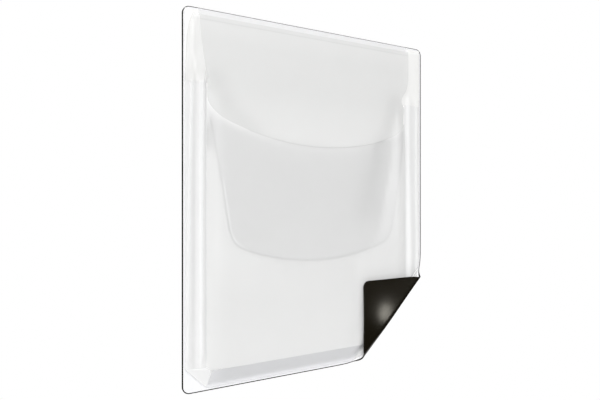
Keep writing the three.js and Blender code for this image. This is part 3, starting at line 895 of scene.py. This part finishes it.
# %% Spine and flap
CREASE = Vector(joints["flap_crease"]["pos_m"]).z / MM
SPINE_SPLIT = CREASE + 0.6
CREASE_SOFTNESS = 0.35
LEFT_EDGE_PULL = (1, 125)
LEFT_EDGE_FOOT = (106, 1)
TONGUE_SHOULDER = (103.4, 66)
LEFT_SHOULDER = (106.5, 90)
RIGHT_SHOULDER = (104.7, 90.5)
TONGUE_CORNER = (88, -24)
TONGUE_ARC_HALF_WIDTH = 73
TONGUE_ARC_SIDES = -43.5
TONGUE_ROUNDING = (3, 4)
TONGUE_STEPS = 36
TONGUE_CORNER_STEPS = 8
TONGUE_GAP = 0.1
SPINE_OVER = 1.2
SPINE_STEPS = (57, 12)
SOFTNESS_LIMIT = 30
LEFT_DENT, FLAP_DENT = 0.8, 1.6
LEFT_DENT_WIDTH = 9
left_dent_path = [(-98, 101), (-86, 77), (-68, 62)]
LINE_TOP = 70
TONGUE_SINK = 3.4
SINK_HEIGHTS = (-50, 45)
TONGUE_LEAN = 2.0
TONGUE_WIDENING = 0.009
FLAP_RIGHT = 106.5
WAIST_TOP = 128
WAIST_STEPS = 8
waist_ends = (101.2, 97.6), (101.4, 109.2)
waist_pulls = (103.4, 95.8), (95.9, 101.9), (FLAP_RIGHT, 115.9)
spine_slope = (flap.front - wallet.front - film) / (wallet.top - CREASE)
print("crease at", round(CREASE, 1), "mm, spine slope", round(spine_slope, 2))


# %% Depth of spine and flap
def sunk(z):
    """How far the tongue has come down to the wallet's back at a height, from zero to one."""
    return 1 - smooth(*SINK_HEIGHTS, z)


def lean(x, z):
    """How far the tongue is to the right of its place on a level flap."""
    return sunk(z) * (TONGUE_LEAN + TONGUE_WIDENING * x)


def left_dent(x, z):
    return groove(x, z, left_dent_path, LEFT_DENT_WIDTH)


def flap_depth(x, z):
    above_crease = np.clip((z - CREASE) / CREASE_SOFTNESS, -SOFTNESS_LIMIT, SOFTNESS_LIMIT)
    fall = spine_slope * CREASE_SOFTNESS * np.log1p(np.exp(above_crease)) + TONGUE_SINK * sunk(z)
    dents = LEFT_DENT * left_dent(x, z) + FLAP_DENT * dent(x - lean(x, z), z)
    free = np.maximum(flap.front - fall - dents, wallet.front + film + layer_gap)
    return np.minimum(free, front_depth(x, z) - film - TONGUE_GAP)


print("the tongue's tip comes down by", TONGUE_SINK, "mm")


# %% Outline of the flap
def tongue_side(sign, top):
    """The tongue's side from its top end and its shoulder down to its bottom arc."""
    def at(offset, z):
        return np.array((middle + sign * offset, z))

    pull = at(TONGUE_CORNER[0] - TONGUE_ROUNDING[0], TONGUE_ARC_SIDES + TONGUE_ROUNDING[1])
    end = at(TONGUE_ARC_HALF_WIDTH, TONGUE_ARC_SIDES)
    round_corner = bow(at(*TONGUE_CORNER), pull, end, TONGUE_CORNER_STEPS)
    return [at(*top), at(*TONGUE_SHOULDER), *round_corner]


arc_rise = TONGUE_ARC_SIDES - tongue.bottom
tongue_radius = (TONGUE_ARC_HALF_WIDTH**2 + arc_rise**2) / (2 * arc_rise)
tongue_tilt = math.degrees(math.asin(TONGUE_ARC_HALF_WIDTH / tongue_radius))
tongue_centre = (middle, tongue.bottom + tongue_radius)
tongue_arc = arc(tongue_centre, tongue_radius, 270 - tongue_tilt, 270 + tongue_tilt, TONGUE_STEPS)
left_pull = (spine.left + LEFT_EDGE_PULL[0], LEFT_EDGE_PULL[1])
left_foot = (middle - LEFT_EDGE_FOOT[0], lip.top + LEFT_EDGE_FOOT[1])
left_edge = bow((spine.left, SPINE_SPLIT), left_pull, left_foot)
stops = [tongue_side(1, RIGHT_SHOULDER)[0], *waist_ends, (FLAP_RIGHT, WAIST_TOP)]
right_edge = []
for start, pull, end in zip(stops, waist_pulls, stops[1:]):
    right_edge += bow(start, pull, end, WAIST_STEPS)
right_edge.append(np.array((FLAP_RIGHT, SPINE_SPLIT)))
tongue_edge = [*tongue_side(-1, LEFT_SHOULDER), *tongue_arc, *reversed(tongue_side(1, RIGHT_SHOULDER))]
tongue_edge = [np.array((x + lean(x, z), z)) for x, z in tongue_edge]
flap_outline = closed([*left_edge, *tongue_edge, *right_edge])
flap_points, flap_faces = fill(flap_outline, hem=HEM)
print("flap with", len(flap_points), "points")

# %% Painted shading of the flap
CREASE_PAINTED_LIGHT = 0.4
CREASE_LIGHT_RISE = (130, 150)
MOUTH_PAINTED_LIGHT, TONGUE_PAINTED_LIGHT = 0.6, 0.3
MOUTH_LIGHT_FADE = (55, 105)
TONGUE_LIGHT_FADE = (MOUTH_LOWEST - 10, MOUTH_LOWEST + 20)
FLAP_LIT_SIDE_LIGHT, FLAP_LIT_SIDE_MORE = 0.5, 0.5
FLAP_LIT_SIDE_RISE, FLAP_LIT_SIDE_FADE = (-40, 0), (84, 100)
FLAP_DENT_PAINTED_SHADE = 0.5


def flap_milk(x, z):
    """Painted light at the crease, at the mouth and right of the dent, and painted shade in both dents."""
    level_x = x - lean(x, z)
    crease_side = CREASE_PAINTED_LIGHT * smooth(*CREASE_LIGHT_RISE, z)
    mouth_side = MOUTH_PAINTED_LIGHT * (1 - smooth(*MOUTH_LIGHT_FADE, z))
    below_mouth = TONGUE_PAINTED_LIGHT * (1 - smooth(*TONGUE_LIGHT_FADE, z))
    amount = FLAP_LIT_SIDE_LIGHT + FLAP_LIT_SIDE_MORE * smooth(*FLAP_LIT_SIDE_RISE, z)
    right = amount * dent_lit_side(level_x, z) * (1 - smooth(*FLAP_LIT_SIDE_FADE, z))
    dents = left_dent(x, z) + dent(level_x, z)
    return crease_side + mouth_side + below_mouth + right - FLAP_DENT_PAINTED_SHADE * dents


flap_piece = film_piece(
    "flap", (flap_points, flap_faces), lifted(flap_depth), ["flap_film", "film_cut_edge"], hem=HEM,
    rim=cut_distance(flap_points, tongue_edge) + np.maximum(flap_points[:, 1] - LINE_TOP, 0),
    milk=flap_milk(*flap_points.T),
)
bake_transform(flap_piece)
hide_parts("flap_panel", "flap_tongue")
print("made", flap_piece.name)


# %% Spine
def grid(xs, zs):
    """A mesh of four-sided faces, as points and faces. A row of zs is one height, or one for each x."""
    points = np.array([(x, z) for row in zs for x, z in np.broadcast(xs, row)])
    wide = len(xs)
    faces = [
        (r * wide + c, r * wide + c + 1, (r + 1) * wide + c + 1, (r + 1) * wide + c)
        for r in range(len(zs) - 1)
        for c in range(wide - 1)
    ]
    return points, faces


spine_xs = np.linspace(spine.left, FLAP_RIGHT, SPINE_STEPS[0] + 1)
spine_zs = np.linspace(SPINE_SPLIT, wallet.top + SPINE_OVER, SPINE_STEPS[1] + 1)
spine_piece = film_piece("spine", grid(spine_xs, spine_zs), lifted(flap_depth), ["spine_film"], hem=0)
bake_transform(spine_piece)
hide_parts("top_spine")
print("made", spine_piece.name)

# %% [markdown]
# ## The side gussets
# Each side of the wallet is a bellows: a flange on the back film, a fold that stands up, a valley, a
# second fold, and a groove beside the front panel. Straight lines between these places would look like
# folded card, so a smooth curve through them gives the section, and a second curve gives the right side's
# section lower down. The half above the flex line stretches when the front is pulled forward, so the bellows
# is made in two halves that meet at the flex line.

# %% Bellows
GUSSET_STEPS = 56
LOWER_STEPS, UPPER_STEPS = 29, 35
flange = wallet.front + layer_gap + film
flex_height = flex.z / MM
left_bellows = [
    (0, 0.0), (0.12, 0.0), (0.2, 1.15), (0.25, 1.25), (0.47, 0.5), (0.56, 0.55), (0.66, 1.1),
    (0.75, 2.45), (0.8, 2.7), (0.85, 2.6), (0.92, 2.1), (0.98, 1.5), (1, 1.4),
]
right_bellows = [
    (0, 0.0), (0.08, 0.3), (0.14, 0.62), (0.19, 0.66), (0.24, 0.36), (0.28, 0.26), (0.32, 0.34), (0.4, 0.6),
    (0.5, 1.05), (0.6, 1.6), (0.67, 1.95), (0.71, 2.03), (0.76, 1.93), (0.85, 1.5), (0.93, 1.4), (1, 1.5),
]
right_bellows_low = [
    (0, 0.0), (0.06, 0.25), (0.1, 0.5), (0.14, 0.55), (0.19, 0.3), (0.23, 0.25), (0.28, 0.38), (0.36, 0.8),
    (0.45, 1.4), (0.52, 1.85), (0.57, 2.0), (0.64, 1.93), (0.75, 1.62), (0.85, 1.4), (0.93, 1.35), (1, 1.45),
]
LOW_SECTION = (40, -60)
LEFT_LEAN = (0.12, 0.09)
LEFT_SWELL = 0.4
LEAN_START = 0.1
GROOVE_END = (0.95, 1.02)
GROOVE_TOP = (66, 82)
LOWER_END_FADE = 12
# Painted highlight on the ridges and painted shade in a valley or groove.
left_folds = [(0.7, 0.05, 0.6), (0.4, 0.1, -0.6)]
right_folds = [(0.73, 0.13, 0.9), (0.94, 0.05, -0.8)]
# A plain amount of painted light over each bellows.
LEFT_GUSSET_PAINTED_LIGHT, RIGHT_GUSSET_PAINTED_LIGHT = 0.0, 0.4
FOLD_FADE = 0.8
FOLD_FADE_TOP = 90
print("bellows", round(front.left - wallet.left, 1), "and", round(wallet.right - front.right, 1), "mm wide")


# %% Depth of a bellows
def section(share, bellows):
    """The bellows' height over its flange, as a smooth curve through its places."""
    places, heights = np.array(bellows, float).T
    slopes = np.gradient(heights, places)
    i = np.clip(np.searchsorted(places, share) - 1, 0, len(places) - 2)
    width = places[i + 1] - places[i]
    t = (share - places[i]) / width
    h00, h10 = (1 + 2 * t) * (1 - t) ** 2, t * (1 - t) ** 2
    h01, h11 = t * t * (3 - 2 * t), t * t * (t - 1)
    return h00 * heights[i] + h10 * width * slopes[i] + h01 * heights[i + 1] + h11 * width * slopes[i + 1]


def gusset_depth(outer, inner, bottom, sections, lean_shares=(0, 0), swell=0.0):
    """The depth of a bellows. Its section changes from the first one to the second one lower down, its folds
    lean inwards towards the top, and they swell towards the bottom."""
    def depth(x, z):
        share = np.clip((x - outer) / (inner - outer), 0, 1)
        low_down = smooth(0, -bottom, -z)
        shift = lean_shares[0] * smooth(0, lip.top, z) - lean_shares[1] * low_down
        along = np.clip(share - shift * (1 - share**2) * np.minimum(share / LEAN_START, 1), 0, 1)
        high, low = (section(along, bellows) for bellows in sections)
        start, end = LOW_SECTION
        size = 1 + swell * low_down
        top = front_depth(np.full(len(z), inner), np.minimum(z, MOUTH_ENDS[1])) - layer_gap - flange
        joined = smooth(*GROOVE_END, share) * (1 - smooth(*GROOVE_TOP, z))
        form = size * (high + (low - high) * smooth(-start, -end, -z))
        form = np.maximum(form + (top - size * sections[0][-1][1]) * joined, 0)
        straight = share * top
        height = flange + straight + (form - straight) * smooth(bottom, bottom + LOWER_END_FADE, z)
        return slope(x, z, height, flange, SLOPE_WIDTH / 2)

    return depth


print("sections with", len(left_bellows), "and", len(right_bellows), "places")


# %% Make the bellows
def gusset(side, outer, inner, bottom, depth, plain_milk, folds):
    """The two halves of a bellows. folds gives the place, width and amount of painted highlight along its
    folds, or of painted shade where the amount is negative.
    """
    def milk(x, z):
        share = (x - outer) / (inner - outer)
        wear_and_fold_light = sum(amount * np.exp(-(((share - place) / width) ** 2)) for place, width, amount in folds)
        return plain_milk + wear_and_fold_light * (1 - FOLD_FADE * smooth(0, FOLD_FADE_TOP, z))

    xs = outer + np.linspace(0, 1, GUSSET_STEPS + 1) * (inner - outer)
    order = xs if outer < inner else xs[::-1]
    fold_line = order - bend_start / ROOT_HALF + 2 * SLOPE_FOOT
    lower = grid(order, np.linspace(np.maximum(fold_line, bottom), flex_height, LOWER_STEPS + 1))
    upper = grid(order, np.linspace(flex_height, lip.top, UPPER_STEPS + 1))
    halves = []
    for half, surface in (("lower", lower), ("upper", upper)):
        piece = film_piece(
            f"{side}_{half}_bellows", surface, lifted(depth), ["side_film"], hem=0, milk=milk(*surface[0].T)
        )
        halves.append(piece)
    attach(halves[0], "root")
    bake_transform(halves[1])
    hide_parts(f"{side}_gusset_lower")
    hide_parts(f"{side}_gusset_upper")


right_bottom = place_of("right_gusset_lower").bottom - (wallet.right - front.right)
left_form = gusset_depth(
    wallet.left, front.left, left_bottom, (left_bellows, left_bellows), LEFT_LEAN, LEFT_SWELL
)
right_form = gusset_depth(wallet.right, front.right, right_bottom, (right_bellows, right_bellows_low))
gusset("left", wallet.left, front.left, left_bottom, left_form, LEFT_GUSSET_PAINTED_LIGHT, left_folds)
gusset("right", wallet.right, front.right, right_bottom, right_form, RIGHT_GUSSET_PAINTED_LIGHT, right_folds)
print("two bellows, each in two halves")

# %% [markdown]
# ## The wings
# Above the front panel each gusset runs on as a wing up to the end of the spine. The left one narrows like
# a lens and has a painted highlight along a ridge, with painted shade towards its tip. The right one is a
# plain strip that lies nearly flat, with painted light all over. The rows of a grid would crowd at the
# lens's tip, so a wing is a filled outline, and its depth comes from how far a point is from its two edges.

# %% Wings
WING_GAP = 0.15
WING_RIPPLE = 0.6
WING_FOOT = 14
WING_UNDER = 1.0
WING_TIP_OUT = 2.5
WING_SPACING = 2.0
WING_CURVE_STEPS = 16
CURVE_START = 4
RIPPLE_FULL = 8
FULL_RISE, FLAT_RISE = 1.0, 0.3
RIDGE_WIDTH = 1.3
TIP_PAINTED_SHADE = 0.5
TIP_SHADE_RISE = (108, 136)
left_ridge = [(-119.6, 147), (-120.4, 131), (-120, 122), (-118.4, 114), (-117.2, 106), (-115.6, 100)]


def wing(side, sign, flap_side, form, share_of_rise, milk):
    """A wing from the bellows' top to the spine's end. Its foot goes under the bellows, so no gap shows."""
    place = place_of(side)
    outer, tip_x = (wallet.left, spine.left) if sign < 0 else (wallet.right, FLAP_RIGHT)
    below_tip = [point for point in flap_side if place.bottom < point[1] < place.top]
    below_tip = sorted(below_tip, key=lambda point: -point[1])
    foot_height = lip.top - WING_UNDER
    inner_edge = [*below_tip, np.array((below_tip[-1][0], foot_height))]
    tip = np.array((tip_x + sign * WING_TIP_OUT, place.top))
    foot = np.array((outer, foot_height))
    curve = [tip, np.array((outer, place.top)), foot]
    if sign < 0:
        curve = bow(tip, (outer, place.top - CURVE_START), foot, WING_CURVE_STEPS)
    round_the_wing = [*curve, *inner_edge[::-1]]
    surface = fill(closed(round_the_wing[::-sign], WING_SPACING), WING_SPACING)

    def depth(x, z):
        points = np.stack([x, z], axis=1)
        to_outer, to_inner = cut_distance(points, curve), cut_distance(points, inner_edge)
        width = to_outer + to_inner
        share = to_outer / np.maximum(width, ON_EDGE)
        ripple = WING_RIPPLE * np.sin(share * 2 * np.pi) * np.minimum(width / RIPPLE_FULL, 1)
        own = flange + share_of_rise * ((flap_depth(x, z) - WING_GAP - flange) * share + ripple)
        end = form(x, np.full(len(x), lip.top))
        under = layer_gap * (1 - smooth(lip.top, lip.top + WING_UNDER, z))
        return end + (own - end) * smooth(place.bottom, place.bottom + WING_FOOT, z) - under

    piece = film_piece(
        f"{side}_film", surface, lifted(depth), ["wing_film"], hem=ON_EDGE,
        rim=cut_distance(surface[0], curve) + 2 * ON_EDGE, milk=milk(*surface[0].T),
    )
    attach(piece, "root")
    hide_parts(side)


# Painted highlight along the left wing's ridge, and painted shade towards its tip.
def left_wing_milk(x, z):
    return groove(x, z, left_ridge, RIDGE_WIDTH) - TIP_PAINTED_SHADE * smooth(*TIP_SHADE_RISE, z)


# Painted light over the whole right wing.
def right_wing_milk(x, z):
    return np.ones_like(x)


wing("left_wing", -1, left_edge, left_form, FULL_RISE, left_wing_milk)
wing("right_wing", 1, right_edge, right_form, FLAT_RISE, right_wing_milk)
print("two wings")

# %% [markdown]
# ## The bottom
# Under the front panel the film turns in to the back: steeply at first, then along a flange. It faces
# down, so its tint is painted darker as painted shade, and its flange and left end get painted light. A
# strip could be drawn along a straight line, but its right end is cut slanting by the fold, so it is a
# filled outline with its depth from one profile. At the left a tuck of film closes the corner between the
# two gussets. It is a fan of straight lines from the front to the back.

# %% Bottom gusset
bottom_profile = [(0, 4.7), (0.08, 4.3), (0.36, 2.6), (0.62, 0.9), (0.76, 0.35), (0.88, 0.1), (1, 0.0)]
BOTTOM_SPACING = 1.6
BOTTOM_FLANGE_PAINTED_LIGHT = 2.4
FLANGE_SHARES = (0.74, 0.98)
LEFT_END_PAINTED_LIGHT = 0.6
LEFT_END_WIDTH = 22
tuck_foot = wallet.left + WALLET_CHAMFER


def bottom_share(z):
    return np.clip((front.bottom - z) / (front.bottom - wallet.bottom), 0, 1)


def bottom_depth(x, z):
    shares, heights = np.array(bottom_profile, float).T
    return slope(x, z, flange + np.interp(bottom_share(z), shares, heights), flange)


def bottom_milk(x, z):
    """Painted light on the bottom's flange and its left end."""
    left_end = 1 - smooth(front.left, front.left + LEFT_END_WIDTH, x)
    return BOTTOM_FLANGE_PAINTED_LIGHT * smooth(*FLANGE_SHARES, bottom_share(z)) + LEFT_END_PAINTED_LIGHT * left_end


bottom_outline = closed([
    np.array(point) for point in (
        (tuck_foot, wallet.bottom), (front.right, wallet.bottom),
        (front.right, front.bottom), tuck_tip,
    )
], BOTTOM_SPACING)
bottom_outline = clip(bottom_outline, bend_start, True, BOTTOM_SPACING)
bottom_surface = fill(bottom_outline, BOTTOM_SPACING)
bottom_piece = film_piece(
    "bottom", bottom_surface, lifted(bottom_depth), ["shaded_bottom_film"], hem=0,
    milk=bottom_milk(*bottom_surface[0].T),
)
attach(bottom_piece, "root")
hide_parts("bottom_gusset")
print("bottom gusset with", len(bottom_surface[0]), "points")

# %% Tuck
TUCK_STEPS = 14
TUCK_TURN = 0.3
TUCK_START = 0.02
turns = np.linspace(0, 1, TUCK_STEPS + 1)
rays = np.linspace(TUCK_START, 1, TUCK_STEPS + 1)
tuck_feet = [
    (wallet.left, left_bottom), (wallet.left, wallet.bottom + WALLET_CHAMFER), (tuck_foot, wallet.bottom),
]
tuck_tips = [(front.left, left_bottom), tuck_tip, tuck_tip]
feet, tips = (
    np.stack([np.interp(turns, (0, TUCK_TURN, 1), np.array(row)[:, i]) for i in (0, 1)], axis=1)
    for row in (tuck_feet, tuck_tips)
)
tuck_points = np.array([tip + s * (foot - tip) for foot, tip in zip(feet, tips) for s in rays])
tuck_share = np.tile(rays, TUCK_STEPS + 1)
_, tuck_faces = grid(rays, turns)


def tuck_move(flat):
    tip_depth = front_depth(np.repeat(tips[:, 0], len(rays)), np.repeat(tips[:, 1], len(rays)))
    depth = flange + (tip_depth - layer_gap - flange) * (1 - tuck_share)
    x, thickness, z = flat.T
    return np.stack([x, thickness + depth, z], axis=1)


tuck_piece = film_piece("tuck", (tuck_points, tuck_faces), tuck_move, ["side_film"], hem=0)
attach(tuck_piece, "root")
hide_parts("corner_tuck")
print("tuck with", len(tuck_points), "points")

# %% [markdown]
# ## Floor, light and camera
# The background is white paper. The world is white to the camera. For light it is a studio that is bright
# at the upper left and dim elsewhere, and mirrors see still more of the dim part, because black rubber
# that mirrors a white room looks grey. The floor is a pale disc below the object that fades out to the
# white.

# %% World
def seen(tree):
    """One for a ray that shows the background: straight from the camera, or through a clear material."""
    path = tree.node("ShaderNodeLightPath", {}, {}, "Is Camera Ray")
    through = Wire(tree, path.socket.node.outputs["Is Transmission Ray"])
    return path.math("MAXIMUM", path, through)


WHITE = (1, 1, 1, 1)
BRIGHT_SIDE = Vector((-0.7, -0.15, 0.7)).normalized()
DIM_LIGHT = 0.03
BRIGHT_LIGHT = 1.2
DIM_UNTIL, BRIGHT_FROM = -0.6, 0.9
DIM_MORE_IN_MIRRORS = 0.5
world = bpy.data.worlds.new("studio")
bpy.context.scene.world = world
sky = Tree(world)
way = sky.node("ShaderNodeTexCoord", {}, {}, "Generated")
towards = sky.node("ShaderNodeVectorMath", {"operation": "DOT_PRODUCT"}, {0: way, 1: BRIGHT_SIDE}, "Value")
mirrored = sky.node("ShaderNodeLightPath", {}, {}, "Is Glossy Ray")
brightness = sky.step(towards, DIM_UNTIL + DIM_MORE_IN_MIRRORS * mirrored, BRIGHT_FROM)
studio = DIM_LIGHT + (BRIGHT_LIGHT - DIM_LIGHT) * brightness
shown = seen(sky)
sky.fill(sky.nodes["Background"], {"Color": WHITE, "Strength": shown + studio * (1 - shown)})
print("studio light from", DIM_LIGHT, "to", BRIGHT_LIGHT)

# %% Floor
FLOOR_HEIGHT = -0.4
FLOOR_RADIUS = 0.5
FLOOR_SIDES = 96
FLOOR_FADE = (FLOOR_RADIUS * 0.45, FLOOR_RADIUS * 0.95)
PAPER_SHADED, PAPER_BRIGHT = (0.9, 0.9, 0.9, 1), (0.93, 0.93, 0.93, 1)
floor_mesh = bpy.data.meshes.new("floor")
ring = [(x, y, FLOOR_HEIGHT) for x, y in arc((0, 0), FLOOR_RADIUS, 0, 360, FLOOR_SIDES)[:-1]]
floor_mesh.from_pydata(ring, [], [list(range(len(ring)))])
floor = bpy.data.objects.new("floor", floor_mesh)
bpy.context.scene.collection.objects.link(floor)
floor_finish = bpy.data.materials.new("pale_floor")
ground = Tree(floor_finish)
spot = ground.node("ShaderNodeTexCoord", {}, {}, "Object")
level = ground.stretched(spot, (1.0, 1.0, 0.0))
far = ground.node("ShaderNodeVectorMath", {"operation": "LENGTH"}, {0: level}, "Value")
paper = ground.noise(spot, scale=40.0)
ground.fill(ground.nodes["Principled BSDF"], {
    "Base Color": ground.mix(paper, PAPER_SHADED, PAPER_BRIGHT),
    "Roughness": 0.8,
})
glow = ground.node("ShaderNodeEmission", {}, {"Color": WHITE, "Strength": 1.0})
fade = ground.step(far, *FLOOR_FADE) * seen(ground)
bare = Wire(ground, ground.nodes["Principled BSDF"].outputs[0])
both = ground.node("ShaderNodeMixShader", {}, {0: fade, 1: bare, 2: glow})
ground.fill(ground.nodes["Material Output"], {"Surface": both})
floor_mesh.materials.append(floor_finish)
print("floor at", FLOOR_HEIGHT, "m")

# %% [markdown]
# A large soft light from above the camera makes the downward film darker. A small one from the right is
# what the black corner's bulge mirrors as a round shine. A third one behind the object shows its back. Point
# lamps would throw hard shadows, so all three are discs.

# %% Lamps
def lamp(name, place, target, size, power):
    light = bpy.data.lights.new(name, "AREA")
    light.shape = "DISK"
    light.size = size
    light.energy = power
    holder = bpy.data.objects.new(name, light)
    holder.location = place
    holder.rotation_euler = (Vector(target) - Vector(place)).to_track_quat("-Z", "Y").to_euler()
    bpy.context.scene.collection.objects.link(holder)


lamp("key", place=(-0.5, -1.3, 1.2), target=(0, 0, 0), size=1.0, power=19)
lamp("corner_shine", place=(0.62, -0.69, -0.29), target=(0.074, -0.01, -0.113), size=0.13, power=0.5)
lamp("back_light", place=(0.5, 1.2, 0.7), target=(0, 0, 0), size=0.8, power=6)
print("three lamps")

# %% [markdown]
# The camera stands level with the object's middle, to its left, with a wide lens, so the sheet's near edge
# is much taller than its far edge.

# %% Camera
CAMERA_PLACE = (-0.2324, -0.3982, 0)
LOOKING = Vector((0.4746, 0.8802, 0))
FOCAL_LENGTH = 29.25
SENSOR_WIDTH = 36
camera = bpy.data.objects.new("camera", bpy.data.cameras.new("camera"))
camera.data.lens = FOCAL_LENGTH
camera.data.sensor_width = SENSOR_WIDTH
camera.data.sensor_fit = "HORIZONTAL"
camera.location = CAMERA_PLACE
camera.rotation_euler = LOOKING.to_track_quat("-Z", "Y").to_euler()
bpy.context.scene.collection.objects.link(camera)
bpy.context.scene.camera = camera
bpy.context.scene.view_settings.view_transform = "Standard"
print("camera at", CAMERA_PLACE)
